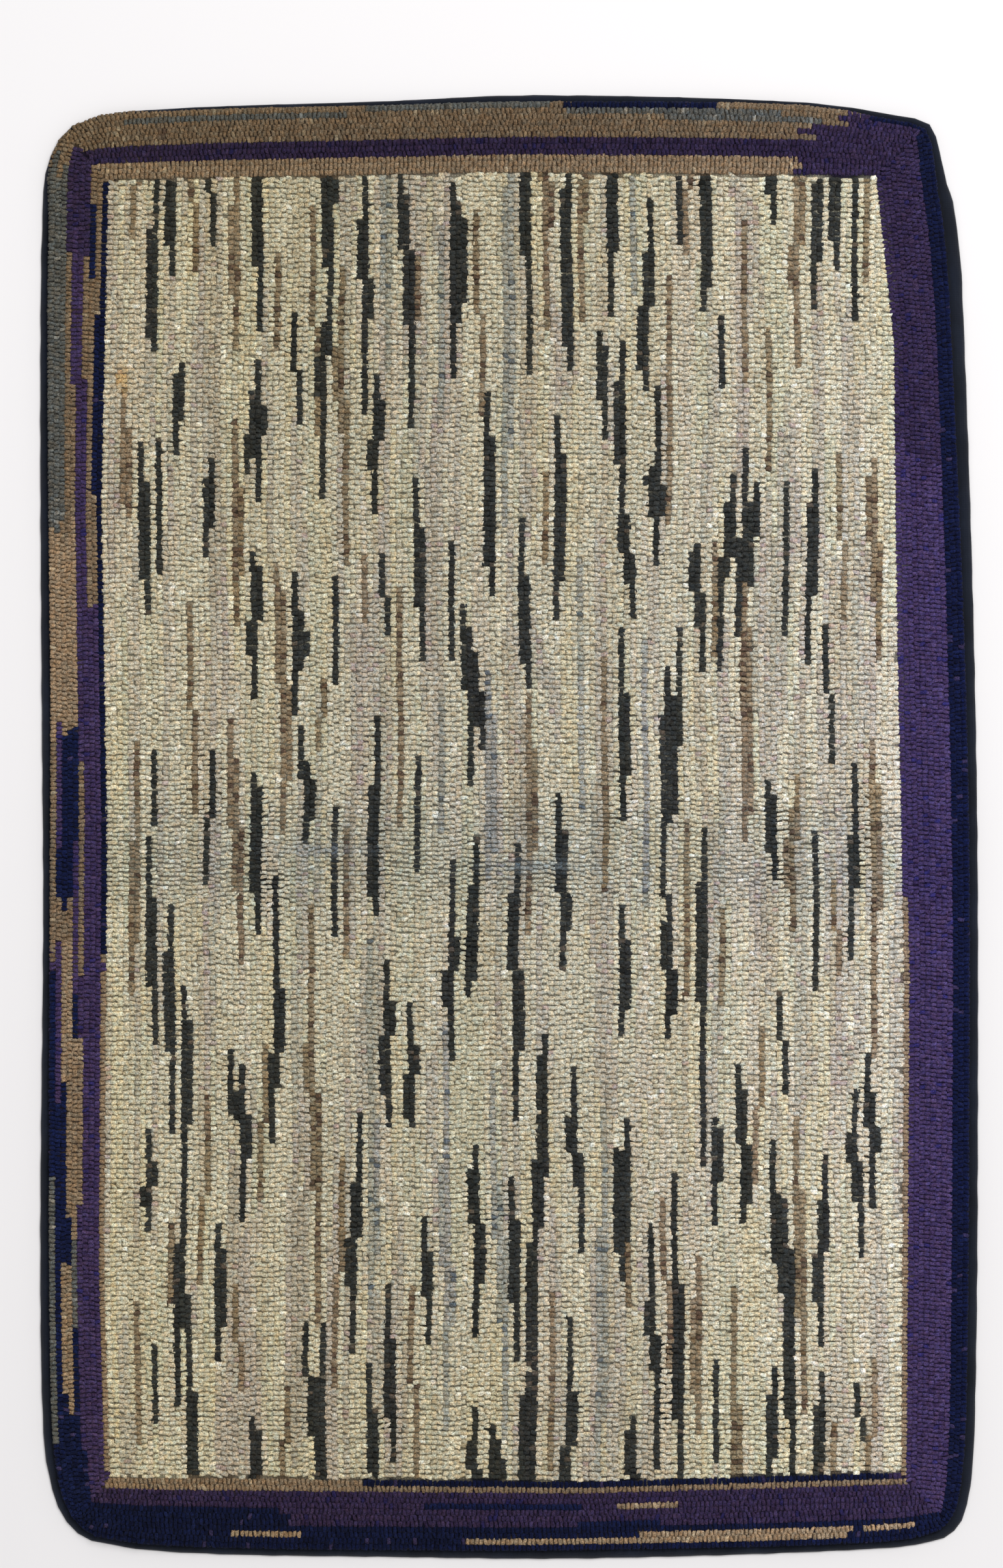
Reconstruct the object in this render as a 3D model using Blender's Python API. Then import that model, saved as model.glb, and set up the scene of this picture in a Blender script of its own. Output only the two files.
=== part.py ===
"""Hooked rug lying flat: a pile-faced slab with a dark cloth binding round its edge.

Metres, +Z up, the rug's length along Y. The origin is in the middle of the footprint, on the floor.
"""
import math
from collections import namedtuple

import bmesh
import bpy
from mathutils import Vector
from mathutils.geometry import delaunay_2d_cdt

MM = 0.001
SEAT_GAP = 0.3 * MM             # clearance between the slab and its binding

# Heights, from the floor up
FOUNDATION = 1.2 * MM           # the woven ground cloth
PILE = 5.0 * MM                 # the loops that stand on it
TAPE = 1.0 * MM                 # the binding's cloth, folded under the back
LIFT = TAPE + SEAT_GAP          # how far the tape raises the slab's margin

# The binding's section, across the edge
TAPE_FLAP = 25.0 * MM           # how far the tape reaches in under the pile
LIFT_RUN = 8.0 * MM             # the back comes down to the floor over this distance
ROLL_BASE = 1.0 * MM            # height of the edge roll where hardly any of it shows
ROLL_RISE = 0.32                # and its extra height for each metre of seen width
HEM_UNDERCUT = 1.2 * MM         # the roll's outer side turns under by this much

# The pile's edge leans outwards: (depth in from the edge, share of the pile's height)
PILE_SHOULDER = ((0.0 * MM, 0.35), (0.7 * MM, 0.72), (1.9 * MM, 0.93), (4.0 * MM, 1.0))

# Outline, clockwise from the top left, in millimetres from the middle. The rug was hooked by hand, so its
# top bows up, its right side leans outwards and no two corners are alike. binding is the width of tape
# that shows beyond the pile; at the top left the tape is drawn under, and the pile reaches the edge.
Station = namedtuple("Station", "side x y binding")
OUTLINE = (
    Station("top", -260, 490, 2.5),
    Station("top", -80, 497, 4.0),
    Station("top", 17, 501, 5.5),
    Station("top", 204, 496, 3.0),
    Station("top", 266, 487, 4.0),
    Station("top right", 288, 481, 4.0),
    Station("top right", 295, 462, 5.5),
    Station("top right", 300, 440, 7.5),
    Station("right", 304, 428, 9.0),
    Station("right", 310, 378, 10.0),
    Station("right", 320, 53, 7.0),
    Station("right", 321, -250, 7.0),
    Station("right", 319, -410, 7.0),
    Station("bottom right", 316, -452, 7.0),
    Station("bottom right", 310, -475, 6.0),
    Station("bottom right", 298, -487, 5.5),
    Station("bottom", 258, -494, 5.5),
    Station("bottom", 52, -501, 7.0),
    Station("bottom", -81, -500, 6.0),
    Station("bottom", -225, -497, 5.5),
    Station("bottom left", -286, -489, 4.0),
    Station("bottom left", -303, -476, 4.5),
    Station("bottom left", -313, -454, 5.5),
    Station("left", -319, -415, 7.0),
    Station("left", -321, -280, 7.0),
    Station("left", -319, -60, 5.5),
    Station("left", -320, 75, 7.0),
    Station("left", -321, 300, 6.0),
    Station("left", -319, 435, 5.0),
    Station("top left", -314, 459, 2.5),
    Station("top left", -299, 480, 2.0),
)
STEP_ALONG_EDGE = 48.0          # longest straight run between two outline points, in millimetres

# Old fold lines across the rug, where the rows of loops have opened and stand a little proud
Crease = namedtuple("Crease", "y height width slant")
CREASES = (
    Crease(8 * MM, 0.5 * MM, 16 * MM, -0.010),
    Crease(-28 * MM, 0.8 * MM, 14 * MM, -0.014),
    Crease(-404 * MM, 0.4 * MM, 15 * MM, 0.006),
)
# Slow unevenness of a hand-hooked face: height, and wavelengths across and along
Wave = namedtuple("Wave", "height across along phase")
WAVES = (
    Wave(0.25 * MM, 230 * MM, 610 * MM, 0.6),
    Wave(0.20 * MM, -150 * MM, 270 * MM, 2.1),
    Wave(0.12 * MM, 88 * MM, 145 * MM, 4.0),
)
CELL_ACROSS = 44.0 * MM         # spacing of the top face's points
CELL_ALONG = 15.0 * MM
CELL_ALONG_PLAIN = 42.0 * MM
CREASE_REACH = 42.0 * MM        # rows this close to a crease have the fine spacing
GRID_CLEARANCE = 9.0 * MM       # grid points keep this far inside the last ring

Edge = namedtuple("Edge", "point binding")


def clear_scene():
    for item in list(bpy.data.objects):
        bpy.data.objects.remove(item, do_unlink=True)


def cloth(name, colour, roughness):
    material = bpy.data.materials.new(name)
    material.use_nodes = True
    shader = material.node_tree.nodes["Principled BSDF"]
    shader.inputs["Base Color"].default_value = (*colour, 1.0)
    shader.inputs["Roughness"].default_value = roughness
    shader.inputs["Metallic"].default_value = 0.0
    return material


def smooth_outline():
    """A closed curve through the outline's stations, centred on its own box."""
    stations = [Vector((s.x, s.y, s.binding)) for s in OUTLINE]
    count = len(stations)
    runs = [(stations[(i + 1) % count] - stations[i]).to_2d().length for i in range(count)]
    slopes = [
        (stations[(i + 1) % count] - stations[i - 1]) / (runs[i] + runs[i - 1])
        for i in range(count)
    ]
    found = []
    for i, run in enumerate(runs):
        after = (i + 1) % count
        steps = max(2, math.ceil(run / STEP_ALONG_EDGE))
        for step in range(steps):
            t = step / steps
            found.append(
                stations[i] * (2 * t**3 - 3 * t**2 + 1)
                + slopes[i] * run * (t**3 - 2 * t**2 + t)
                + stations[after] * (3 * t**2 - 2 * t**3)
                + slopes[after] * run * (t**3 - t**2)
            )
    middle_x = (max(p.x for p in found) + min(p.x for p in found)) / 2
    middle_y = (max(p.y for p in found) + min(p.y for p in found)) / 2
    return [
        Edge(Vector(((p.x - middle_x) * MM, (p.y - middle_y) * MM)), p.z * MM) for p in found
    ]


def half_sizes(outline):
    return max(e.point.x for e in outline), max(e.point.y for e in outline)


def inset(outline, depths):
    """The outline drawn in by a depth at each point. Corners keep their shape and never cross."""
    half_x, half_y = half_sizes(outline)
    return [
        Vector((e.point.x * (1 - depth / half_x), e.point.y * (1 - depth / half_y)))
        for e, depth in zip(outline, depths)
    ]


def relief(x, y):
    """How far the pile's face departs from level at a place."""
    height = sum(
        w.height * math.sin(math.tau * (x / w.across + y / w.along) + w.phase) for w in WAVES
    )
    for crease in CREASES:
        off = (y - crease.y - crease.slant * x) / crease.width
        height += crease.height * math.exp(-off * off)
    return height


def add_ring(mesh, points, heights):
    return [mesh.verts.new((p.x, p.y, z)) for p, z in zip(points, heights)]


def join_rings(mesh, rings):
    """Bands of faces between successive closed rings."""
    for lower, upper in zip(rings, rings[1:]):
        for i in range(len(lower)):
            j = (i + 1) % len(lower)
            mesh.faces.new((lower[i], lower[j], upper[j], upper[i]))


def finish(mesh, name, material):
    bmesh.ops.triangulate(mesh, faces=[f for f in mesh.faces if len(f.verts) == 4])
    bmesh.ops.recalc_face_normals(mesh, faces=mesh.faces)
    data = bpy.data.meshes.new(name)
    mesh.to_mesh(data)
    mesh.free()
    data.materials.append(material)
    data.shade_smooth()
    data.set_sharp_from_angle(angle=math.radians(40))
    made = bpy.data.objects.new(name, data)
    bpy.context.scene.collection.objects.link(made)
    return made


def rows_along(half_y):
    """Where the top face has rows of points: close together over the creases."""
    rows = []
    y = -half_y
    while y < half_y:
        rows.append(y)
        near = any(abs(y - crease.y) < CREASE_REACH for crease in CREASES)
        y += CELL_ALONG if near else CELL_ALONG_PLAIN
    return rows


def grid_inside(border):
    """Points for the top face, inside a closed border."""
    half_x = max(p.x for p in border) - GRID_CLEARANCE
    half_y = max(p.y for p in border) - GRID_CLEARANCE
    columns = round(2 * half_x / CELL_ACROSS)
    points = []
    for y in rows_along(half_y):
        for column in range(columns + 1):
            spot = Vector((-half_x + 2 * half_x * column / columns, y))
            if all((spot - p).length > GRID_CLEARANCE for p in border) and encloses(border, spot):
                points.append(spot)
    return points


def encloses(border, spot):
    inside = False
    for a, b in zip(border, border[1:] + border[:1]):
        crosses = (a.y > spot.y) != (b.y > spot.y)
        if crosses and spot.x < a.x + (b.x - a.x) * (spot.y - a.y) / (b.y - a.y):
            inside = not inside
    return inside


def fill_top(mesh, ring, border):
    """The pile's face inside the last ring, on a grid fine enough for its creases."""
    grid = grid_inside(border)
    edges = [(i, (i + 1) % len(border)) for i in range(len(border))]
    keep_inside = 1
    points, _, triangles, origins, _, _ = delaunay_2d_cdt(border + grid, edges, [], keep_inside, 1e-7)
    level = FOUNDATION + PILE
    verts = []
    for point, origin in zip(points, origins):
        if origin and origin[0] < len(ring):
            verts.append(ring[origin[0]])
        else:
            verts.append(mesh.verts.new((point.x, point.y, level + relief(point.x, point.y))))
    for triangle in triangles:
        mesh.faces.new([verts[i] for i in triangle])


def build_pile(outline):
    """Foundation and loops as one slab. Its back is flat, and its margin rides up over the tape."""
    mesh = bmesh.new()
    edge = [e.binding for e in outline]
    flap_end = [b + TAPE_FLAP for b in edge]

    floor = inset(outline, [d + SEAT_GAP + LIFT_RUN for d in flap_end])
    over_flap = inset(outline, [d + SEAT_GAP for d in flap_end])
    rim = inset(outline, edge)
    rings = [
        add_ring(mesh, floor, [0.0] * len(floor)),
        add_ring(mesh, over_flap, [LIFT] * len(over_flap)),
        add_ring(mesh, rim, [LIFT] * len(rim)),
    ]
    for depth, share in PILE_SHOULDER:
        spots = inset(outline, [b + depth for b in edge])
        heights = [LIFT + FOUNDATION + share * (PILE + relief(p.x, p.y)) for p in spots]
        rings.append(add_ring(mesh, spots, heights))
    high = inset(outline, flap_end)
    rings.append(add_ring(mesh, high, [LIFT + FOUNDATION + PILE + relief(p.x, p.y) for p in high]))
    low = inset(outline, [d + LIFT_RUN for d in flap_end])
    rings.append(add_ring(mesh, low, [FOUNDATION + PILE + relief(p.x, p.y) for p in low]))

    join_rings(mesh, rings)
    mesh.faces.new(rings[0])
    fill_top(mesh, rings[-1], low)
    return finish(mesh, "hooked_pile", cloth("wool_pile", (0.42, 0.37, 0.30), 0.95))


def build_binding(outline):
    """The tape: a flat flap under the pile, turned up into a soft roll that shows beyond its edge."""
    mesh = bmesh.new()
    shown = [e.binding for e in outline]
    # depth as a share of the seen width, plus a fixed depth; height as a share of the roll's height
    section = (
        (1.0, TAPE_FLAP, 0.0, 0.0),
        (1.0, TAPE_FLAP, 0.0, TAPE),
        (1.0, -SEAT_GAP, 0.0, TAPE),
        (1.0, -SEAT_GAP, 0.88, 0.0),
        (0.62, 0.0, 1.0, 0.0),
        (0.28, 0.0, 0.86, 0.0),
        (0.07, 0.0, 0.60, 0.0),
        (0.0, 0.0, 0.34, 0.0),
        (0.0, 0.4 * HEM_UNDERCUT, 0.10, 0.0),
        (0.0, HEM_UNDERCUT, 0.0, 0.0),
    )
    rings = []
    for share, depth, roll_share, height in section:
        spots = inset(outline, [share * b + depth for b in shown])
        rolls = [ROLL_BASE + ROLL_RISE * b for b in shown]
        rings.append(add_ring(mesh, spots, [roll_share * roll + height for roll in rolls]))
    join_rings(mesh, rings + rings[:1])
    return finish(mesh, "edge_binding", cloth("binding_cloth", (0.012, 0.017, 0.026), 0.9))


def main():
    clear_scene()
    outline = smooth_outline()
    build_pile(outline)
    build_binding(outline)


main()
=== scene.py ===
"""Looks of the hooked rug: every loop of the pile, its yarns, the ground cloth and the cloth binding."""
import math
from collections import namedtuple

import bmesh
import bpy
import numpy as np
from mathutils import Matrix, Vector
from mathutils.bvhtree import BVHTree
from mathutils.kdtree import KDTree


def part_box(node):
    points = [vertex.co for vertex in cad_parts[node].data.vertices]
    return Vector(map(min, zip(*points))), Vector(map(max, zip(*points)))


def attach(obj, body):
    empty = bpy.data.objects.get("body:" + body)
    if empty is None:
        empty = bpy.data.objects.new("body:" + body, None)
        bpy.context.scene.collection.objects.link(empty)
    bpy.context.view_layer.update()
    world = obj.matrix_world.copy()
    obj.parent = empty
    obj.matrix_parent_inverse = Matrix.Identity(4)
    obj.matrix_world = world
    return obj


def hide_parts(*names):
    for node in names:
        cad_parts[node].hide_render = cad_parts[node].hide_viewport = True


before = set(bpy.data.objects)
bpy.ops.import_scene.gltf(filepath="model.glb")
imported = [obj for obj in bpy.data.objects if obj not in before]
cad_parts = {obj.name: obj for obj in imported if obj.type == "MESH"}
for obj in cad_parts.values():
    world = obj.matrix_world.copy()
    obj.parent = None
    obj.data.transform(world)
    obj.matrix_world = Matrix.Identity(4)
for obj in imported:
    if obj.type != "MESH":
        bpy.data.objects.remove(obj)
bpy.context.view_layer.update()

MM = 0.001
CM = 0.01
SEED = 1958

# The photograph's frame, and where it looks
IMAGE_WIDTH = 1540
IMAGE_HEIGHT = 2407
PIXEL = 0.445 * MM              # what one pixel covers on the rug
VIEW_X = -5.3 * MM              # the picture's middle, from the rug's
VIEW_Y = 29.4 * MM
CAMERA_HEIGHT = 3.2
SENSOR = 36.0

# Hooking: the spacing of the lines, and of the loops along them
FIELD_LINE = 4.0 * MM
FIELD_ROW = 3.38 * MM
CREASE_ROW = 3.05 * MM          # rows are crowded in the fold band across the middle
CREASE_BAND = (-58 * MM, 18 * MM)
FOLD_MIDDLE = -20 * MM          # the same band is a little soiled
FOLD_REACH = 34 * MM
FOLD_SOIL = np.array((0.11, 0.08, 0.04))
BORDER_STEP = 3.0 * MM

# Slow wander of the rows and lines: height, wavelengths across and along, phase
ROW_WAVES = (
    (0.9 * MM, 210 * MM, 900 * MM, 0.4), (0.5 * MM, -95 * MM, 410 * MM, 1.9),
    (0.35 * MM, 52 * MM, -230 * MM, 4.2),
)
LINE_WAVES = (
    (0.7 * MM, 700 * MM, 320 * MM, 1.1), (0.35 * MM, -260 * MM, 120 * MM, 3.0),
)
LINE_SLIP = 0.45 * MM           # a whole line of loops lies this much up or down from its neighbours
LOOP_SLIP = 0.30 * MM           # and each loop strays this much from its place
BORDER_SLIP = 0.14 * MM         # the border is hooked more evenly
TRACE_STEP = 1.5 * MM           # border lines are traced along the edge in steps this long

# One loop: its crown's share of its width and length, and how deep its sides go
CROWN_ACROSS = 1.02
CROWN_ALONG = 0.66
RING_CUT = 0.55                 # share of each side left straight between the cut corners
RING_ACROSS = 1.20              # a loop's foot spreads in under its neighbours
RING_ALONG = 1.02
CROWN_GROOVE = 0.10             # the yarn's two strands part a little in the middle of the crown
LOOP_DEPTH = 1.5 * MM
BED_DEPTH = 1.3 * MM            # the bed lies this far below the tips
BED_LEAST = 1.0 * MM            # thickness of the bed at the rug's very edge
FLOOR_CLEARANCE = 0.1 * MM      # no loop reaches lower than this
TIP_MEAN = -0.05 * MM           # tips lie this far off the solid's face, give or take
TIP_SPREAD = 0.09 * MM
# How uneven loops are, as shares of their half sizes, or of their depth for the crown
SIZE_SPREAD = 0.06
CORNER_SPREAD = 0.15
CROWN_SPREAD = 0.10
SKEW_SPREAD = 0.20
# How uneven their colour is: between a yarn's dark and light, and from point to point
TONE_MEAN = 0.60
TONE_SPREAD = 0.14
POINT_SPREAD = 0.09
RIM_LEAN = 0.9                  # lean of the outermost loops, in radians

Yarn = namedtuple("Yarn", "name dark light fleck fleck_share")
YARNS = (
    Yarn("pale", (154, 143, 119), (198, 191, 170), (208, 202, 186), 0.02),
    Yarn("heather", (142, 132, 116), (182, 174, 158), (158, 142, 134), 0.04),
    Yarn("charcoal", (16, 18, 18), (56, 57, 55), (78, 70, 62), 0.02),
    Yarn("tweed", (76, 60, 43), (146, 130, 107), (84, 68, 56), 0.12),
    Yarn("blue_grey", (108, 108, 102), (164, 161, 150), (90, 95, 98), 0.05),
    Yarn("tan", (88, 72, 57), (122, 104, 85), (134, 118, 98), 0.02),
    Yarn("grey", (58, 58, 57), (92, 92, 90), (112, 110, 106), 0.03),
    Yarn("purple", (34, 22, 53), (66, 53, 87), (40, 34, 78), 0.04),
    Yarn("navy", (1, 4, 28), (18, 26, 62), (48, 42, 74), 0.02),
)
PALE, HEATHER, CHARCOAL, TWEED, BLUE_GREY, TAN, GREY, PURPLE, NAVY = range(len(YARNS))
ROW_GAP_SHADE = (0.64, 0.60, 0.48)   # painted shade: the depths between rows are darker and duller than the crowns, and olive
LINE_GAP_SHADE = (0.98, 0.98, 0.97)  # painted shade too, but hardly any, between lines
CROWN_TONE = (1.0, 1.0, 1.0)

# The field's edges, in millimetres from the rug's middle: (place along the edge, place across it)
FIELD_LEFT = ((-450, -273), (-300, -277), (0, -275), (220, -279), (445, -274))
FIELD_RIGHT = ((-450, 268), (-100, 270), (150, 265), (330, 263), (445, 251))
FIELD_TOP = ((-277, 443), (0, 448), (250, 446))
FIELD_BOTTOM = ((-272, -445), (50, -448), (253, -442))
EDGE_PULL = 40 * MM             # lines this near the left edge follow its waver

# Upright streaks in other yarns. Each one's place is drawn at random, spread evenly over the field, so this
# is a field of the same kind and not a copy. Number, widths and lengths (cm) are like the photograph's;
# first and last are shares of the field's width
Streak = namedtuple("Streak", "line wide top foot lean")
StreakKind = namedtuple("StreakKind", "yarn count widths shortest usual longest first last")
STREAK_KINDS = (
    StreakKind(BLUE_GREY, 12, (1, 1, 2, 2), 6, 12, 22, 0.33, 0.68),
    StreakKind(TWEED, 56, (1, 1, 1, 2, 2), 4, 10, 18, 0.02, 0.95),
    StreakKind(CHARCOAL, 112, (1, 2, 2, 2, 2, 2, 3), 3, 6, 12, 0.04, 0.95),
)
SPREAD_TRIES = 60               # places tried for each streak: it takes the emptiest
SPREAD_ACROSS = 4.0             # streaks stand this many times closer side by side than end to end
TIP_ALLOWANCE = 1.6             # a streak with its tips is about this many times its own length
TAILS = (0.15, 0.3, 0.45, 0.7)  # how far one line runs on past the rest, as shares of the length

# The border, side by side. A band is a yarn's broad stretch: from and to in centimetres along the side from
# the rug's middle, its first and last line counted outwards from the field, and how light it is. Later
# bands lie over earlier ones. Runs are short lengths of a yarn scattered at random over such a stretch
Band = namedtuple("Band", "yarn start end first last tone", defaults=(1.0,))
Runs = namedtuple("Runs", "yarn count start end first last tone", defaults=(1.0,))
RUN_LENGTHS = (5, 13)
END_STAGGER = 7 * MM            # neighbouring lines of a band end this unevenly
LEFT_BANDS = (
    Band(TAN, -10, 52, 0, 9), Band(PURPLE, 30, 50, 4, 5), Band(PURPLE, 40, 50, 3, 6, 0.7),
    Band(PURPLE, 5, 30, 3, 4), Band(GREY, 20, 45, 7, 9), Band(TAN, 7, 20, 5, 9, 1.5),
    Band(NAVY, -10, 45, 0, 0, 0.7), Band(PURPLE, -10, 15, 1, 3), Band(NAVY, -5, 7, 5, 8),
    Band(PURPLE, -45, -10, 1, 4), Band(NAVY, -52, -10, 5, 9), Band(TAN, -45, -10, 0, 0, 1.3),
    Band(GREY, -35, -20, 5, 5), Band(GREY, -45, -25, 9, 9), Band(TAN, -40, -30, 6, 7, 1.4),
    Band(NAVY, -52, -43, 4, 9), Band(TAN, -18, -8, 6, 7, 1.5), Band(TAN, -20, -14, 4, 5, 1.4),
)
LEFT_RUNS = (
    Runs(NAVY, 3, 15, 45, 1, 3), Runs(PURPLE, 4, -35, 10, 5, 8), Runs(TAN, 3, -30, -5, 4, 8, 1.2),
)
TOP_BANDS = (
    Band(TAN, -36, 36, 3, 11, 0.9), Band(TAN, -36, 36, 0, 2, 1.3), Band(PURPLE, -30, 36, 3, 5, 0.6),
    Band(GREY, -10, 3, 11, 11), Band(GREY, 10, 22, 9, 9), Band(NAVY, 5, 15, 11, 11, 0.7),
    Band(PURPLE, 20, 36, 0, 8, 0.65), Band(PURPLE, 23, 36, 9, 11, 0.65), Band(NAVY, 24, 36, 11, 11, 0.7),
)
TOP_RUNS = (
    Runs(GREY, 2, -30, -10, 10, 11), Runs(GREY, 1, 0, 18, 10, 10),
)
RIGHT_BANDS = (
    Band(PURPLE, -54, 54, 0, 8), Band(PURPLE, 25, 54, 0, 8, 0.65), Band(NAVY, -54, 54, 9, 11, 0.7),
    Band(TAN, -45, -5, 0, 0, 1.2),
)
RIGHT_RUNS = ()
BOTTOM_BANDS = (
    Band(PURPLE, -36, 36, 0, 7, 0.65), Band(NAVY, -36, 36, 8, 11, 0.8), Band(NAVY, -36, -15, 5, 7, 0.8),
    Band(TAN, -28, -10, 0, 1, 1.2), Band(NAVY, -10, 25, 0, 0, 0.7), Band(TAN, -10, 27, 1, 1),
    Band(TAN, -3, 12, 10, 10, 1.5), Band(TAN, 8, 24, 9, 10, 1.5), Band(TAN, 24, 28, 9, 9, 1.5),
    Band(TAN, -19, -14, 9, 9, 1.4),
)
BOTTOM_RUNS = (
    Runs(TAN, 1, 0, 20, 3, 4, 1.3), Runs(NAVY, 3, -10, 20, 3, 7),
)

# Sides: which way is out (x, y), the field edge they start from, how many lines they hold, and their yarns
Side = namedtuple("Side", "name out edge lines bands runs")
SIDES = (
    Side("left", (-1, 0), FIELD_LEFT, 10, LEFT_BANDS, LEFT_RUNS),
    Side("right", (1, 0), FIELD_RIGHT, 12, RIGHT_BANDS, RIGHT_RUNS),
    Side("top", (0, 1), FIELD_TOP, 12, TOP_BANDS, TOP_RUNS),
    Side("bottom", (0, -1), FIELD_BOTTOM, 12, BOTTOM_BANDS, BOTTOM_RUNS),
)
EDGE_HEIGHT = 3.0 * MM          # the pile is widest at this height
BARE_CORNER = (-300 * MM, 468 * MM)
BARE_REACH = 62 * MM
BARE_PUSH = 2.2 * MM

rng = np.random.default_rng(SEED)
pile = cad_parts["hooked_pile"]
tree = BVHTree.FromPolygons(
    [v.co[:] for v in pile.data.vertices], [p.vertices[:] for p in pile.data.polygons]
)


def linear(colour):
    """A colour given in 0 to 255 steps, as the renderer wants it."""
    c = np.asarray(colour, float) / 255
    return np.where(c <= 0.04045, c / 12.92, ((c + 0.055) / 1.055) ** 2.4)


def table_value(table, places):
    """A field edge's place across it, for places along it, in metres."""
    rows = np.array(table) * MM
    return np.interp(places, rows[:, 0], rows[:, 1])


def pile_height(x, y):
    """Height of the pile's face. Past its edge, the height of its nearest point."""
    top = np.zeros(len(x))
    for i, (px, py) in enumerate(zip(x, y)):
        hit = tree.ray_cast(Vector((px, py, 1.0)), Vector((0, 0, -1)))[0]
        if hit is None:
            hit = tree.find_nearest(Vector((px, py, EDGE_HEIGHT)))[0]
        top[i] = hit.z
    return top


def rim(side, places):
    """Where the pile ends on that side, as a distance out from the rug's middle."""
    found = np.zeros(len(places))
    out = Vector((*side.out, 0))
    for i, place in enumerate(places):
        along = Vector((0, place, 0)) if side.out[0] else Vector((place, 0, 0))
        hit = tree.ray_cast(along + out + Vector((0, 0, EDGE_HEIGHT)), -out)[0]
        found[i] = hit.dot(out) if hit else 0.0
    return found


def depth_out(side, x, y):
    """How far out into a side's border each point is: 0 at the field, 1 at the pile's edge."""
    along, across = (y, x * side.out[0]) if side.out[0] else (x, y * side.out[1])
    start = table_value(side.edge, along) * sum(side.out)
    end = rim(side, along)
    room = np.maximum(end - start, 1e-6)
    return np.where(end > start, (across - start) / room, 0.0)


# Rows and lines of the field

def row_depths():
    """How far below the field's top each row of loops lies."""
    top = max(y for x, y in FIELD_TOP) * MM
    length = top - min(y for x, y in FIELD_BOTTOM) * MM
    found, depth = [], FIELD_ROW / 2
    while depth < length:
        found.append(depth)
        crowded = CREASE_BAND[0] < top - depth < CREASE_BAND[1]
        depth += CREASE_ROW if crowded else FIELD_ROW
    return np.array(found)


FIELD_HEAD = max(y for x, y in FIELD_TOP) * MM
ROWS = row_depths()
LINES = math.ceil((max(x for y, x in FIELD_RIGHT) - min(x for y, x in FIELD_LEFT)) * MM / FIELD_LINE) + 1


def paint(cells, streak, value):
    """Marks one streak in the chart. One of its lines leads at each end, and the others fall short."""
    length = (streak.foot - streak.top) * CM
    first, last = rng.integers(0, streak.wide, 2)
    for k in range(streak.wide):
        top = streak.top * CM + length * min(0.45, abs(k - first) * rng.uniform(0.04, 0.26))
        foot = streak.foot * CM - length * min(0.45, abs(k - last) * rng.uniform(0.04, 0.30))
        share = np.clip((ROWS - streak.top * CM) / length, 0, 1)
        lines = streak.line + k + np.round(streak.lean * share).astype(int)
        rows = np.nonzero((ROWS >= top - FIELD_ROW / 2) & (ROWS < foot))[0]
        rows = rows[(lines[rows] >= 0) & (lines[rows] < LINES)]
        cells[lines[rows], rows] = value


def emptiness(line, wide, middle, length, taken):
    """The clear space between a streak and the nearest one already placed, in centimetres."""
    if not taken:
        return 0.0
    placed = np.array([(t.line + t.wide / 2, t.wide, (t.top + t.foot) / 2, t.foot - t.top) for t in taken])
    lines_apart = np.abs(placed[:, 0] - line - wide / 2) - (placed[:, 1] + wide) / 2
    across = np.maximum(0, lines_apart) * (FIELD_LINE / CM) * SPREAD_ACROSS
    along = np.maximum(0, np.abs(placed[:, 2] - middle) - TIP_ALLOWANCE * (placed[:, 3] + length) / 2)
    return float(np.hypot(across, along).min())


def place_streaks(kind, taken):
    """Streaks of one kind, each in the emptiest of a few random places."""
    found = []
    for _ in range(kind.count):
        wide = int(rng.choice(kind.widths))
        length = rng.triangular(kind.shortest, kind.usual, kind.longest)
        lines = rng.integers(int(kind.first * LINES), int(kind.last * LINES), SPREAD_TRIES)
        middles = rng.uniform(0, ROWS[-1] / CM, SPREAD_TRIES)
        rooms = [emptiness(a, wide, b, length, taken + found) for a, b in zip(lines, middles)]
        line, middle = int(lines[np.argmax(rooms)]), middles[np.argmax(rooms)]
        lean = int(rng.choice((-1, 0, 0, 0, 1)))
        found.append(Streak(line, wide, middle - length / 2, middle + length / 2, lean))
    return found


def tips_of(streak):
    """At each end of a wide streak, one of its lines runs on past the rest."""
    if streak.wide == 1:
        return ()
    length = streak.foot - streak.top
    upper, lower = rng.integers(0, streak.wide, 2)
    rise, fall = length * rng.choice(TAILS, 2)
    above = Streak(streak.line + int(upper), 1, streak.top - rise, streak.top + length / 3, 0)
    below_line = streak.line + int(lower) + streak.lean
    return above, Streak(below_line, 1, streak.foot - length / 3, streak.foot + fall, 0)


def chart_field():
    """Yarn and tint for every line and row of the field."""
    yarn = np.full((LINES, len(ROWS)), PALE)
    tint = np.zeros((LINES, len(ROWS)), int)
    reach = ROWS[-1] / CM
    for cells, count, kinds in ((tint, 640, len(TINTS)), (yarn, 120, 1)):
        for _ in range(count):
            top = rng.uniform(-20, reach)
            run = Streak(
                int(rng.integers(-1, LINES)), int(rng.choice((1, 1, 1, 2, 2, 3, 4))),
                top, top + rng.uniform(6, 40), int(rng.integers(-1, 2)),
            )
            paint(cells, run, HEATHER if cells is yarn else int(rng.integers(0, kinds)))
    taken = []
    for kind in STREAK_KINDS:
        placed = place_streaks(kind, taken)
        for streak in placed:
            paint(yarn, streak, kind.yarn)
            for tip in tips_of(streak):
                paint(yarn, tip, kind.yarn)
        taken += placed
    return yarn, tint


# Dye lots of the pale ground, as shares of red, green and blue
TINTS = np.array((
    (1.00, 1.00, 1.00), (1.05, 1.04, 1.02), (1.02, 0.99, 0.90), (0.97, 0.97, 0.95),
    (0.95, 0.97, 0.93), (0.98, 0.95, 0.97), (0.92, 0.90, 0.86),
))


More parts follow.
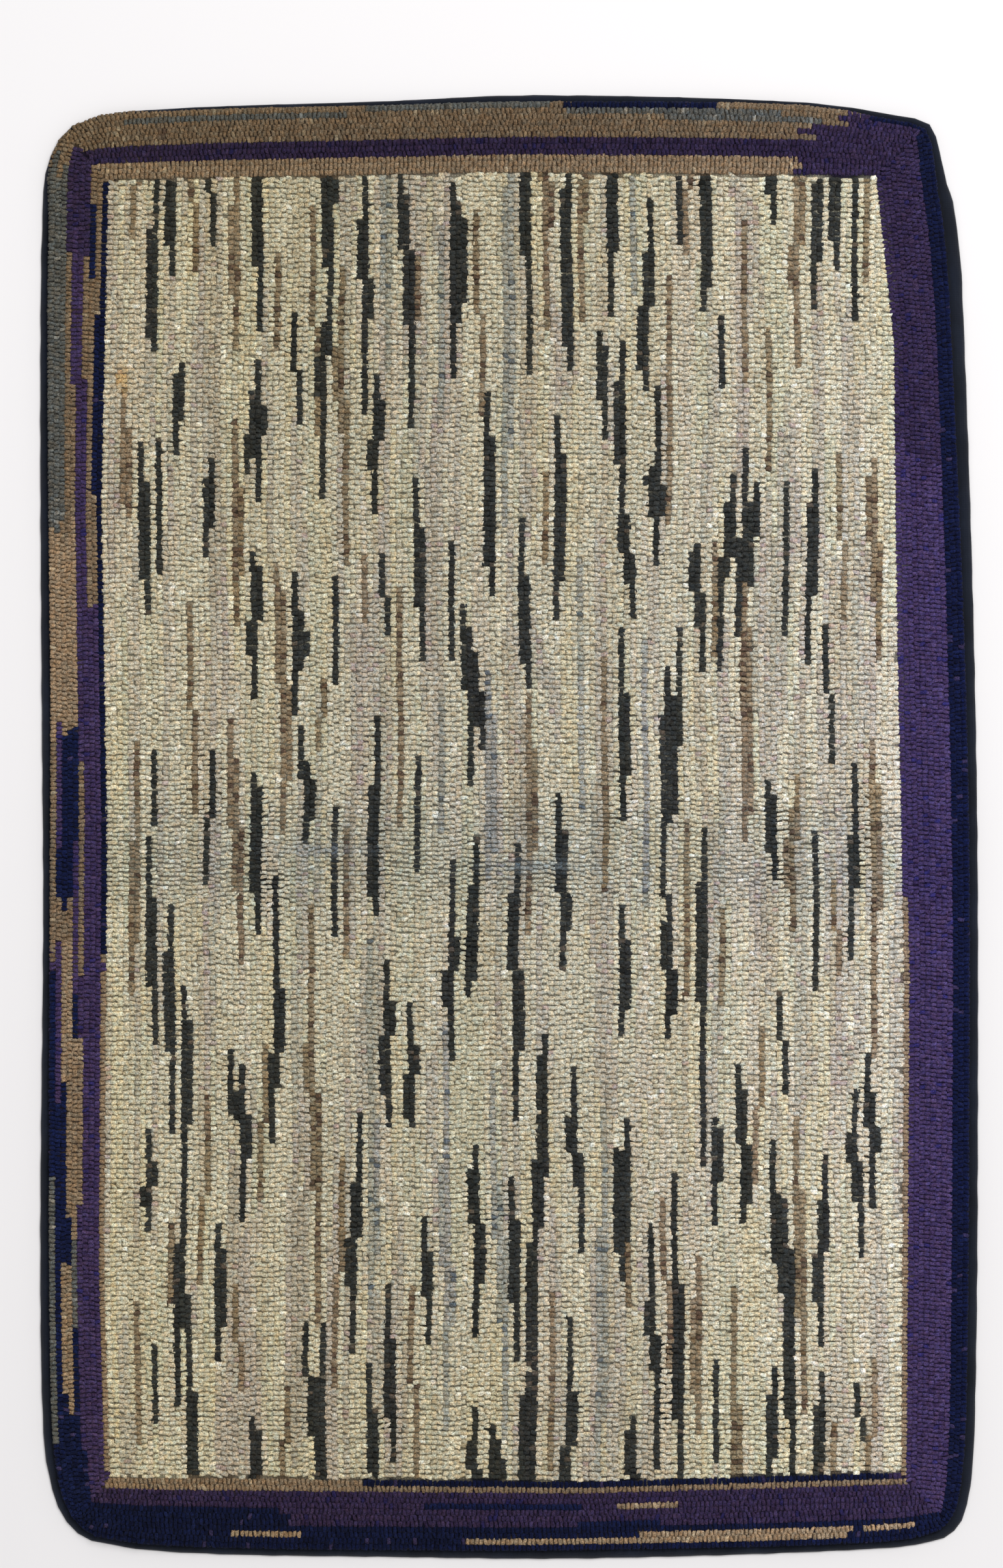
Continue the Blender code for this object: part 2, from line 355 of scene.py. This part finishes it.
def waver(x, y, waves):
    """A slow, smooth unevenness: each wave has a height and wavelengths across and along."""
    total = np.zeros(len(x))
    for height, across, along, phase in waves:
        total += height * np.sin(math.tau * (x / across + y / along) + phase)
    return total


# Old folds, where rows have opened: place, half height of the band, how wide the gaps stand
Fold = namedtuple("Fold", "y reach gap")
FOLDS = (
    Fold(6 * MM, 14 * MM, 0.10), Fold(-30 * MM, 16 * MM, 0.15), Fold(-404 * MM, 14 * MM, 0.08),
)


def gap_at(x, y):
    """How far the rows stand open, from 0 to about a half."""
    open_rows = np.zeros(len(x))
    for fold in FOLDS:
        open_rows += fold.gap * np.exp(-(((y - fold.y) / fold.reach) ** 2))
    patchy = waver(x, y, ((0.3, 190 * MM, 50 * MM, 0.0), (0.25, -61 * MM, 23 * MM, 1.3)))
    return open_rows * (0.9 + patchy)


Loops = namedtuple("Loops", "x y across half_across half_along yarn tint lean")


def field_loops():
    """Every loop of the striped field."""
    yarn, tint = chart_field()
    line = np.repeat(np.arange(LINES), len(ROWS))
    row = np.tile(np.arange(len(ROWS)), LINES)
    y = FIELD_HEAD - ROWS[row]
    left = table_value(FIELD_LEFT, y)
    base = min(x for y_, x in FIELD_LEFT) * MM + 2 * MM
    nominal = base + (line + 0.5) * FIELD_LINE
    x = nominal + (left - base) * np.exp(-(nominal - base) / EDGE_PULL)
    x += waver(x, y, LINE_WAVES) * np.minimum(1, (nominal - base) / EDGE_PULL)
    x += rng.normal(0, LOOP_SLIP, len(x))
    slip = rng.normal(0, LINE_SLIP, LINES)[line] + rng.normal(0, LOOP_SLIP, len(line))
    y = y + waver(x, y, ROW_WAVES) + slip
    half_across = np.full(len(x), FIELD_LINE / 2)
    right = table_value(FIELD_RIGHT, y)
    spare = right - (x + FIELD_LINE / 2)
    last = (spare < 0.65 * FIELD_LINE) & (spare > -0.35 * FIELD_LINE)
    x = np.where(last, x + spare / 2, x)
    half_across = np.where(last, half_across + spare / 2, half_across)
    keep = spare > -0.35 * FIELD_LINE
    keep &= y < table_value(FIELD_TOP, x) - 0.3 * FIELD_ROW
    keep &= y > table_value(FIELD_BOTTOM, x) + 0.3 * FIELD_ROW
    pitch = np.where((y > CREASE_BAND[0]) & (y < CREASE_BAND[1]), CREASE_ROW, FIELD_ROW)
    half_along = pitch / 2 * (1 - gap_at(x, y))
    ones = np.ones(len(x))
    across = np.stack((ones, ones * 0.0), 1)
    found = (x, y, across, half_across, half_along, yarn[line, row], TINTS[tint[line, row]], ones * 0)
    return Loops(*(values[keep] for values in found))


# The border, one side at a time

def neighbours(side):
    """The two sides that meet this one at its corners."""
    return [other for other in SIDES if bool(other.out[0]) != bool(side.out[0])]


def border_line(side, share, reach):
    """Loop places along one line of a side's border, and which way is out at each."""
    places = np.arange(-reach, reach, TRACE_STEP)
    start = table_value(side.edge, places) * sum(side.out)
    end = rim(side, places)
    usable = end > start
    places, out = places[usable], (start + (end - start) * share)[usable]
    points = np.stack((places, out), 1)
    steps = np.hypot(*np.diff(points, axis=0).T)
    length = np.concatenate(((0,), np.cumsum(steps)))
    marks = np.arange(rng.uniform(0, BORDER_STEP), length[-1], BORDER_STEP)
    marks = marks + rng.normal(0, BORDER_SLIP, len(marks))
    place, outward = np.interp(marks, length, points[:, 0]), np.interp(marks, length, points[:, 1])
    slope = np.interp(place, places, np.gradient(out, places))
    room = np.interp(place, places, (end - start)[usable])
    norm = np.hypot(1, slope)
    if side.out[0]:
        x, y = outward * side.out[0], place
        across = np.stack((side.out[0] / norm, -slope / norm), 1)
    else:
        x, y = place, outward * side.out[1]
        across = np.stack((-slope / norm, side.out[1] / norm), 1)
    return x, y, place, across, room / norm


def scattered(runs):
    """Short lengths of one yarn, each on one line, at random within a stretch of the border."""
    found = []
    for _ in range(runs.count):
        length = rng.uniform(*RUN_LENGTHS)
        start = rng.uniform(runs.start, runs.end - length)
        line = int(rng.integers(runs.first, runs.last + 1))
        found.append(Band(runs.yarn, start, start + length, line, line, runs.tone))
    return found


def yarn_along(bands, line, places):
    """The yarn of each loop on one line, and how light it is. Bands end unevenly from line to line."""
    yarn, tone = np.full(len(places), PURPLE), np.ones(len(places))
    for band in bands:
        ends = rng.normal(0, END_STAGGER, 2)
        if band.first <= line <= band.last:
            inside = (places >= band.start * CM + ends[0]) & (places < band.end * CM + ends[1])
            yarn[inside], tone[inside] = band.yarn, band.tone
    return yarn, tone


def border_loops(side):
    """Every loop of one side's border. The last line leans out over the pile's edge."""
    half = abs(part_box("hooked_pile")[1][1 if side.out[0] else 0]) + 2 * MM
    bands = list(side.bands)
    for runs in side.runs:
        bands += scattered(runs)
    found = []
    for line in range(side.lines + 1):
        outermost = line == side.lines
        share = 0.995 if outermost else (line + 0.5) / side.lines
        x, y, place, across, room = border_line(side, share, half)
        keep = np.ones(len(x), bool)
        for other in neighbours(side):
            beyond = depth_out(other, x, y)
            keep &= beyond <= share if side.out[0] else beyond < share
        yarn, tone = yarn_along(bands, min(line, side.lines - 1), place)
        tone = tone * (1 + rng.normal(0, 0.03))
        found.append(Loops(
            x[keep], y[keep], across[keep], (room / side.lines / 2)[keep],
            np.full(keep.sum(), BORDER_STEP / 2),
            yarn[keep],
            np.repeat(tone[keep][:, None], 3, axis=1),
            np.full(keep.sum(), RIM_LEAN if outermost else 0.0),
        ))
    return found


def over_bare_corner(loops):
    """Leans the outermost loops of one corner out to the very edge, where the tape is drawn under."""
    away = np.hypot(loops.x - BARE_CORNER[0], loops.y - BARE_CORNER[1]) / BARE_REACH
    push = np.where(loops.lean > 0, BARE_PUSH * np.exp(-(away**4)), 0.0)
    return loops._replace(x=loops.x + loops.across[:, 0] * push, y=loops.y + loops.across[:, 1] * push)


def gathered():
    """All the loops of the rug, in one table."""
    groups = [field_loops()]
    for side in SIDES:
        groups.extend(border_loops(side))
    return over_bare_corner(Loops(*(np.concatenate(parts) for parts in zip(*groups))))


# Colour of each loop: dye, dirt and painted light

def trend(x, y):
    """Painted light and soil over the face: lightest at the right where the light falls, warmest at the top
    left, dull in the old fold.
    """
    u, v = x / 0.32, y / 0.50
    level = 1.0 + 0.13 * u + 0.22 * u**2 - 0.05 * v - 0.045 * (v + 0.15) ** 2
    green = level * (1.045 + 0.02 * u - 0.03 * v**2)
    blue = level * (1.10 + 0.10 * u - 0.14 * v**2)
    soil = np.exp(-(((y - FOLD_MIDDLE) / FOLD_REACH) ** 4))[:, None]
    return np.stack((level, green, blue), 1) * (1 - soil * FOLD_SOIL)


Mark = namedtuple("Mark", "x y half_width half_height colour strength")
MARKS = (
    Mark(-265, 307, 4, 9, (176, 138, 70), 0.75),
    Mark(-237, 474, 3, 3, (44, 22, 18), 0.85),
    Mark(-130, -16, 25, 4, (118, 126, 134), 0.6),
    Mark(15, -27, 30, 4, (112, 124, 132), 0.6),
)


def loop_colours(loops):
    """The colour of each loop: its yarn, dye lot, painted light and soil, and any stain over it."""
    dark = np.array([linear(y.dark) for y in YARNS])
    light = np.array([linear(y.light) for y in YARNS])
    fleck = np.array([linear(y.fleck) for y in YARNS])
    share = np.array([y.fleck_share for y in YARNS])
    t = np.clip(rng.normal(TONE_MEAN, TONE_SPREAD, len(loops.x)), 0, 1)[:, None]
    colour = dark[loops.yarn] * (1 - t) + light[loops.yarn] * t
    flecked = rng.random(len(loops.x)) < share[loops.yarn]
    colour[flecked] = fleck[loops.yarn][flecked]
    colour = colour * loops.tint
    # painted light, lightest at the right, with soil in the old fold
    colour = colour * trend(loops.x, loops.y)
    for mark in MARKS:
        across = (loops.x / MM - mark.x) / mark.half_width
        along = (loops.y / MM - mark.y) / mark.half_height
        weight = (mark.strength * np.exp(-(across**2 + along**2)))[:, None]
        colour = colour * (1 - weight) + linear(mark.colour) * weight
    return colour


# One loop's shape: eight points round its foot, then six round its crown, as shares of its half sizes
LOOP_SHAPE = np.array(
    [(RING_ACROSS, -RING_CUT, -1), (RING_ACROSS, RING_CUT, -1),
     (RING_CUT, RING_ALONG, -1), (-RING_CUT, RING_ALONG, -1),
     (-RING_ACROSS, RING_CUT, -1), (-RING_ACROSS, -RING_CUT, -1),
     (-RING_CUT, -RING_ALONG, -1), (RING_CUT, -RING_ALONG, -1),
     (CROWN_ACROSS, -CROWN_ALONG, 0), (CROWN_ACROSS, CROWN_ALONG, 0),
     (0, CROWN_ALONG, -CROWN_GROOVE), (-CROWN_ACROSS, CROWN_ALONG, 0),
     (-CROWN_ACROSS, -CROWN_ALONG, 0), (0, -CROWN_ALONG, -CROWN_GROOVE)])
# Painted shade on each loop's points: the foot points are darkened where they sink between neighbours, the
# crown points are not
POINT_SHADE = np.array(
    ([LINE_GAP_SHADE] * 2 + [ROW_GAP_SHADE] * 2) * 2 + [CROWN_TONE] * 6)
LOOP_FACES = np.array(
    [(0, 1, 9), (0, 9, 8), (1, 2, 9), (2, 10, 9), (2, 3, 10), (3, 11, 10), (3, 4, 11),
     (4, 5, 12), (4, 12, 11), (5, 6, 12), (6, 13, 12), (6, 7, 13), (7, 8, 13), (7, 0, 8),
     (8, 9, 10), (8, 10, 13), (13, 10, 11), (13, 11, 12)])
CROWN = slice(8, 14)


def loop_points(loops, tips):
    """Every loop's points. The outermost loops lean out over the rug's edge."""
    count = len(loops.x)
    across = np.column_stack((loops.across, np.zeros(count)))
    along = np.column_stack((-loops.across[:, 1], loops.across[:, 0], np.zeros(count)))
    up = np.tile((0.0, 0.0, 1.0), (count, 1))
    lean = loops.lean[:, None]
    tilted_across = across * np.cos(lean) - up * np.sin(lean)
    tilted_up = up * np.cos(lean) + across * np.sin(lean)
    centre = np.column_stack((loops.x, loops.y, tips))
    shape = np.tile(LOOP_SHAPE, (count, 1, 1))
    shape[:, :, :2] *= rng.normal(1, SIZE_SPREAD, (count, 1, 2))
    shape[:, :, :2] += rng.normal(0, CORNER_SPREAD, (count, len(LOOP_SHAPE), 2))
    shape[:, CROWN, 2] += rng.normal(0, CROWN_SPREAD, (count, 6))
    shape[:, :, 1] += shape[:, :, 0] * rng.normal(0, SKEW_SPREAD, (count, 1))
    return (
        centre[:, None, :]
        + shape[:, :, 0:1] * (tilted_across * loops.half_across[:, None])[:, None, :]
        + shape[:, :, 1:2] * (along * loops.half_along[:, None])[:, None, :]
        + shape[:, :, 2:3] * (tilted_up * LOOP_DEPTH)[:, None, :]
    )


def mesh_from(name, points, faces, colours):
    """A smooth mesh of triangles with a colour at each point and a map seen from above."""
    mesh = bpy.data.meshes.new(name)
    mesh.vertices.add(len(points))
    mesh.vertices.foreach_set("co", points.astype(np.float32).ravel())
    mesh.loops.add(faces.size)
    mesh.loops.foreach_set("vertex_index", faces.astype(np.int32).ravel())
    mesh.polygons.add(len(faces))
    mesh.polygons.foreach_set("loop_start", np.arange(0, faces.size, 3, dtype=np.int32))
    mesh.update(calc_edges=True)
    mesh.shade_smooth()
    add_colours(mesh, colours)
    flat = points[faces.ravel()][:, :2]
    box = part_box("edge_binding")
    size = np.array((box[1].x - box[0].x, box[1].y - box[0].y)) * 1.05
    layer = mesh.uv_layers.new(name="OFBake")
    layer.data.foreach_set("uv", (flat / size + 0.5).astype(np.float32).ravel())
    return mesh


def add_colours(mesh, colours):
    layer = mesh.color_attributes.new("yarn", "FLOAT_COLOR", "POINT")
    rgba = np.column_stack((colours, np.ones(len(colours))))
    layer.data.foreach_set("color", rgba.astype(np.float32).ravel())


def add_piece(name, mesh, material, slot, *stands_for):
    piece = bpy.data.objects.new(name, mesh)
    bpy.context.scene.collection.objects.link(piece)
    mesh.materials.clear()
    mesh.materials.append(material)
    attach(piece, "root")
    if stands_for:
        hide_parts(*stands_for)
    return piece


# Materials

def new_material(name, roughness, sheen):
    material = bpy.data.materials.new(name)
    material.use_nodes = True
    shader = material.node_tree.nodes["Principled BSDF"]
    shader.inputs["Roughness"].default_value = roughness
    shader.inputs["Specular IOR Level"].default_value = 0.08
    shader.inputs["Sheen Weight"].default_value = sheen
    shader.inputs["Sheen Roughness"].default_value = 0.5
    return material, shader


def node(material, kind, **settings):
    made = material.node_tree.nodes.new(kind)
    for name, value in settings.items():
        setattr(made, name, value)
    return made


def link(material, start, end):
    material.node_tree.links.new(start, end)


def position(material):
    return node(material, "ShaderNodeTexCoord").outputs["Object"]


def noise(material, scale, detail=2.0, roughness=0.6):
    made = node(material, "ShaderNodeTexNoise")
    made.inputs["Scale"].default_value = scale
    made.inputs["Detail"].default_value = detail
    made.inputs["Roughness"].default_value = roughness
    link(material, position(material), made.inputs["Vector"])
    return made.outputs["Fac"]


def ranged(material, value, low, high):
    made = node(material, "ShaderNodeMapRange")
    made.inputs["From Min"].default_value = 0.35
    made.inputs["From Max"].default_value = 0.65
    made.inputs["To Min"].default_value = low
    made.inputs["To Max"].default_value = high
    link(material, value, made.inputs["Value"])
    return made.outputs["Result"]


def times(material, first, second):
    made = node(material, "ShaderNodeMath", operation="MULTIPLY")
    link(material, first, made.inputs[0])
    link(material, second, made.inputs[1])
    return made.outputs["Value"]


def scaled_colour(material, colour, amount):
    made = node(material, "ShaderNodeVectorMath", operation="SCALE")
    link(material, colour, made.inputs[0])
    link(material, amount, made.inputs["Scale"])
    return made.outputs["Vector"]


def bump(material, shader, height, distance, strength=1.0):
    made = node(material, "ShaderNodeBump")
    made.inputs["Distance"].default_value = distance
    made.inputs["Strength"].default_value = strength
    link(material, height, made.inputs["Height"])
    link(material, made.outputs["Normal"], shader.inputs["Normal"])


def wool(name):
    """Spun wool: the colour of each loop, mottled by its fibres, with a fuzzy grain."""
    material, shader = new_material(name, 0.95, 0.03)
    colour = node(material, "ShaderNodeAttribute", attribute_name="yarn").outputs["Color"]
    mottle = ranged(material, noise(material, 1000.0, 3.0), 0.56, 1.44)
    fibre = ranged(material, noise(material, 2000.0, 2.0), 0.72, 1.28)
    dyed = node(material, "ShaderNodeMix", data_type="RGBA")
    dyed.inputs["A"].default_value = (1.10, 0.98, 0.86, 1)
    dyed.inputs["B"].default_value = (0.92, 1.01, 1.10, 1)
    link(material, ranged(material, noise(material, 330.0, 2.0), 0.0, 1.0), dyed.inputs["Factor"])
    hued = node(material, "ShaderNodeVectorMath", operation="MULTIPLY")
    link(material, colour, hued.inputs[0])
    link(material, dyed.outputs["Result"], hued.inputs[1])
    shade = times(material, mottle, fibre)
    link(material, scaled_colour(material, hued.outputs["Vector"], shade), shader.inputs["Base Color"])
    bump(material, shader, noise(material, 1100.0, 3.0), 0.7 * MM, 1.0)
    return material


def threads(material, pitch, direction):
    """The rise and fall of woven threads across one direction."""
    made = node(material, "ShaderNodeTexWave", wave_type="BANDS", bands_direction=direction)
    made.inputs["Scale"].default_value = math.tau / (20 * pitch)
    made.inputs["Distortion"].default_value = 0.6
    made.inputs["Detail"].default_value = 1.0
    made.inputs["Detail Scale"].default_value = 2.0
    link(material, position(material), made.inputs["Vector"])
    return made.outputs["Fac"]


def woven(name, pitch, roughness, sheen, low, high, relief):
    """Woven cloth in the mesh's own colours, with threads both ways."""
    material, shader = new_material(name, roughness, sheen)
    colour = node(material, "ShaderNodeAttribute", attribute_name="yarn").outputs["Color"]
    weave = times(material, threads(material, pitch, "X"), threads(material, pitch, "Y"))
    shade = ranged(material, weave, low, high)
    wear = ranged(material, noise(material, 60.0, 4.0), 0.85, 1.2)
    link(material, scaled_colour(material, colour, times(material, shade, wear)), shader.inputs["Base Color"])
    bump(material, shader, weave, relief, 0.8)
    return material


# Pieces

loops = gathered()
tips = pile_height(loops.x, loops.y)
tips = tips + rng.normal(TIP_MEAN, TIP_SPREAD, len(tips))
points = loop_points(loops, tips)
points[:, :, 2] = np.maximum(points[:, :, 2], FLOOR_CLEARANCE)
crown_colours = loop_colours(loops)
point_colours = np.repeat(crown_colours[:, None, :], len(LOOP_SHAPE), axis=1)
# random tone from point to point, and painted shade at each loop's foot
point_colours *= rng.normal(1.0, POINT_SPREAD, point_colours.shape[:2])[:, :, None] * POINT_SHADE
point_colours = np.clip(point_colours, 0.0, 0.95)

PALE_PARTS = 3                  # the pale loops are too many for one piece
wools = {yarn.name: wool(f"{yarn.name}_wool") for yarn in YARNS}


def add_loops(name, picked, yarn):
    faces = (LOOP_FACES[None] + len(LOOP_SHAPE) * np.arange(len(picked))[:, None, None]).reshape(-1, 3)
    mesh = mesh_from(name, points[picked].reshape(-1, 3), faces, point_colours[picked].reshape(-1, 3))
    add_piece(name, mesh, wools[yarn.name], f"{yarn.name}_yarn")


for number, yarn in enumerate(YARNS):
    picked = np.nonzero(loops.yarn == number)[0]
    if number == PALE:
        picked = picked[np.argsort(loops.x[picked], kind="stable")]
        for part, some in enumerate(np.array_split(picked, PALE_PARTS), start=1):
            add_loops(f"{yarn.name}_loops_{part}", some, yarn)
    else:
        add_loops(f"{yarn.name}_loops", picked, yarn)


# The ground cloth and the binding start from their solids, with finer faces

def fine_copy(node_name, longest):
    """A copy of a solid's mesh whose edges are all shorter than a given length."""
    work = bmesh.new()
    work.from_mesh(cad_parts[node_name].data)
    bmesh.ops.remove_doubles(work, verts=work.verts, dist=0.01 * MM)
    for _ in range(6):
        long_edges = [e for e in work.edges if e.calc_length() > longest]
        if not long_edges:
            break
        bmesh.ops.subdivide_edges(work, edges=long_edges, cuts=1)
        bmesh.ops.triangulate(work, faces=work.faces)
    mesh = bpy.data.meshes.new(node_name)
    work.to_mesh(mesh)
    work.free()
    if "sharp_face" in mesh.attributes:
        mesh.attributes.remove(mesh.attributes["sharp_face"])
    return mesh


BURLAP = linear((150, 126, 92))
BACK_CLOTH = 0.62               # on the back the cloth shows most, with a little of the yarn's colour
BACK_YARN = 0.16
SHARP = math.radians(40)        # cloth turns over a crisp edge beyond this angle
BED_SHADE = 0.5                  # painted shade: the bed shows only between loops, so it is darkened as in their shade


def build_foundation():
    mesh = fine_copy("hooked_pile", 13 * MM)
    co = np.array([v.co[:] for v in mesh.vertices])
    face = pile_height(co[:, 0], co[:, 1])
    on_top = np.abs(face - co[:, 2]) < 0.08 * MM
    base = np.where(on_top, 0, co[:, 2])
    co[:, 2] = np.where(on_top, np.maximum(co[:, 2] - BED_DEPTH, 1.3 * MM + BED_LEAST), base)
    mesh.vertices.foreach_set("co", co.astype(np.float32).ravel())
    colours = np.zeros((len(co), 3))
    spots = index_by_place()
    for i, (x, y, _) in enumerate(co):
        near = spots.find((x, y, 0))[1]
        colours[i] = crown_colours[near]
    # the bed gets painted shade; the back is mostly cloth with a little of the yarn's colour
    colours = np.where(on_top[:, None], colours * BED_SHADE, BURLAP * BACK_CLOTH + colours * BACK_YARN)
    add_colours(mesh, colours)
    mesh.shade_smooth()
    mesh.set_sharp_from_angle(angle=SHARP)
    mesh.update()
    material = woven("ground_cloth", 1.9 * MM, 0.95, 0.1, 0.62, 1.2, 0.5 * MM)
    return add_piece("ground_cloth", mesh, material, "foundation_cloth", "hooked_pile")


def index_by_place():
    spots = KDTree(len(loops.x))
    for i, (x, y) in enumerate(zip(loops.x, loops.y)):
        spots.insert((x, y, 0), i)
    spots.balance()
    return spots


BINDING = linear((13, 19, 31))
PUCKERS = ((0.14 * MM, 31 * MM, 37 * MM, 0.2), (0.084 * MM, -17 * MM, 23 * MM, 2.0))
PUCKER_FROM = 0.9 * MM          # only the roll that shows is puckered
TAPE_WEAR = ((0.16, 90 * MM, 130 * MM, 1.2), (0.112, -41 * MM, 57 * MM, 0.1))


# Hem: slanting stitches that hold the tape's inner edge to the back of the ground cloth
STITCH_STEP = 8 * MM
STITCH_SLANT = 2.2 * MM
STITCH_WIDE = 0.5 * MM          # half the thread's width
STITCH_IN = 3.6 * MM            # how far it reaches in over the ground cloth's back
STITCH_TAPE = (0.10 * MM, 0.45 * MM)     # its lower and upper faces where it leaves the tape
STITCH_CLOTH = (0.35 * MM, 0.70 * MM)    # and where it enters the ground cloth
STITCH_FACES = (
    (0, 1, 3, 2), (4, 6, 7, 5), (0, 4, 5, 1), (2, 3, 7, 6), (0, 2, 6, 4), (1, 5, 7, 3),
)
TAPE_MIDDLE = 0.5 * MM


def hem_places():
    """Points on the tape's inner edge, each with the way out."""
    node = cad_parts["edge_binding"]
    tape = BVHTree.FromPolygons(
        [v.co[:] for v in node.data.vertices], [f.vertices[:] for f in node.data.polygons]
    )
    found = []
    for side in SIDES:
        out = Vector((*side.out, 0))
        half = abs(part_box("hooked_pile")[1][1 if side.out[0] else 0]) - 50 * MM
        for place in np.arange(-half, half, STITCH_STEP):
            start = Vector((0, place, TAPE_MIDDLE)) if side.out[0] else Vector((place, 0, TAPE_MIDDLE))
            hit = tape.ray_cast(start, out)[0]
            if hit:
                found.append((hit, out))
    return found


def build_hem(material):
    """One short bar of thread for each stitch."""
    corners, faces = [], []
    for place, out in hem_places():
        along = Vector((-out.y, out.x, 0))
        first = len(corners)
        ends = ((place, STITCH_TAPE), (place - out * STITCH_IN + along * STITCH_SLANT, STITCH_CLOTH))
        for spot, heights in ends:
            for side in (-1, 1):
                for height in heights:
                    corners.append((*(spot + along * (side * STITCH_WIDE)).to_2d(), height))
        faces += [tuple(first + i for i in face) for face in STITCH_FACES]
    mesh = bpy.data.meshes.new("hem_stitches")
    mesh.from_pydata(corners, [], faces)
    mesh.update()
    add_colours(mesh, np.tile(BINDING * 1.8, (len(corners), 1)))
    return add_piece("hem_stitches", mesh, material, "binding_cloth")


def build_binding():
    mesh = fine_copy("edge_binding", 10 * MM)
    co = np.array([v.co[:] for v in mesh.vertices])
    normals = np.array([v.normal[:] for v in mesh.vertices])
    lift = np.where(co[:, 2] > PUCKER_FROM, waver(co[:, 0], co[:, 1], PUCKERS), 0.0)
    co = co + normals * lift[:, None]
    co[:, 2] = np.maximum(co[:, 2], 0.0)
    mesh.vertices.foreach_set("co", co.astype(np.float32).ravel())
    worn = 1 + waver(co[:, 0], co[:, 1], TAPE_WEAR)
    add_colours(mesh, BINDING * worn[:, None])
    mesh.shade_smooth()
    mesh.set_sharp_from_angle(angle=SHARP)
    mesh.update()
    material = woven("binding_cloth", 0.7 * MM, 0.85, 0.25, 0.8, 1.25, 0.15 * MM)
    return add_piece("edge_binding_cloth", mesh, material, "binding_cloth", "edge_binding")


foundation = build_foundation()
binding = build_binding()
hem = build_hem(binding.data.materials[0])


# Floor, light and camera

FLOOR_HALF = 14.0               # far enough out that its edges stay out of low views
FLOOR_TONE = (0.69, 0.68, 0.685, 1)
KEY_PLACE = (1.3, 1.6, 2.6)
KEY_SIZE = 1.6
KEY_POWER = 75
SKY_COLOUR = (1.0, 0.99, 0.99, 1)
SKY_STRENGTH = 0.85


def add_floor():
    mesh = bpy.data.meshes.new("floor")
    half = FLOOR_HALF
    mesh.from_pydata(
        [(-half, -half, 0), (half, -half, 0), (half, half, 0), (-half, half, 0)], [], [(0, 1, 2, 3)]
    )
    floor = bpy.data.objects.new("floor", mesh)
    bpy.context.scene.collection.objects.link(floor)
    material = bpy.data.materials.new("pale_floor")
    material.use_nodes = True
    shader = material.node_tree.nodes["Principled BSDF"]
    shader.inputs["Base Color"].default_value = FLOOR_TONE
    shader.inputs["Roughness"].default_value = 0.9
    shader.inputs["Specular IOR Level"].default_value = 0.1
    mesh.materials.append(material)


def add_area(name, place, size, power):
    data = bpy.data.lights.new(name, "AREA")
    data.size = size
    data.energy = power
    lamp = bpy.data.objects.new(name, data)
    lamp.location = place
    lamp.rotation_euler = (-Vector(place)).to_track_quat("-Z", "Y").to_euler()
    bpy.context.scene.collection.objects.link(lamp)


def add_camera():
    data = bpy.data.cameras.new("camera")
    data.sensor_width = SENSOR
    data.lens = SENSOR * CAMERA_HEIGHT / (IMAGE_HEIGHT * PIXEL)
    camera = bpy.data.objects.new("camera", data)
    camera.location = (VIEW_X, VIEW_Y, CAMERA_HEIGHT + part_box("hooked_pile")[1].z)
    bpy.context.scene.collection.objects.link(camera)
    bpy.context.scene.camera = camera


def light_room():
    world = bpy.data.worlds.new("room")
    world.use_nodes = True
    sky = world.node_tree.nodes["Background"]
    sky.inputs["Color"].default_value = SKY_COLOUR
    sky.inputs["Strength"].default_value = SKY_STRENGTH
    bpy.context.scene.world = world
    add_area("key", KEY_PLACE, KEY_SIZE, KEY_POWER)


add_floor()
light_room()
add_camera()
bpy.context.scene.view_settings.view_transform = "Standard"
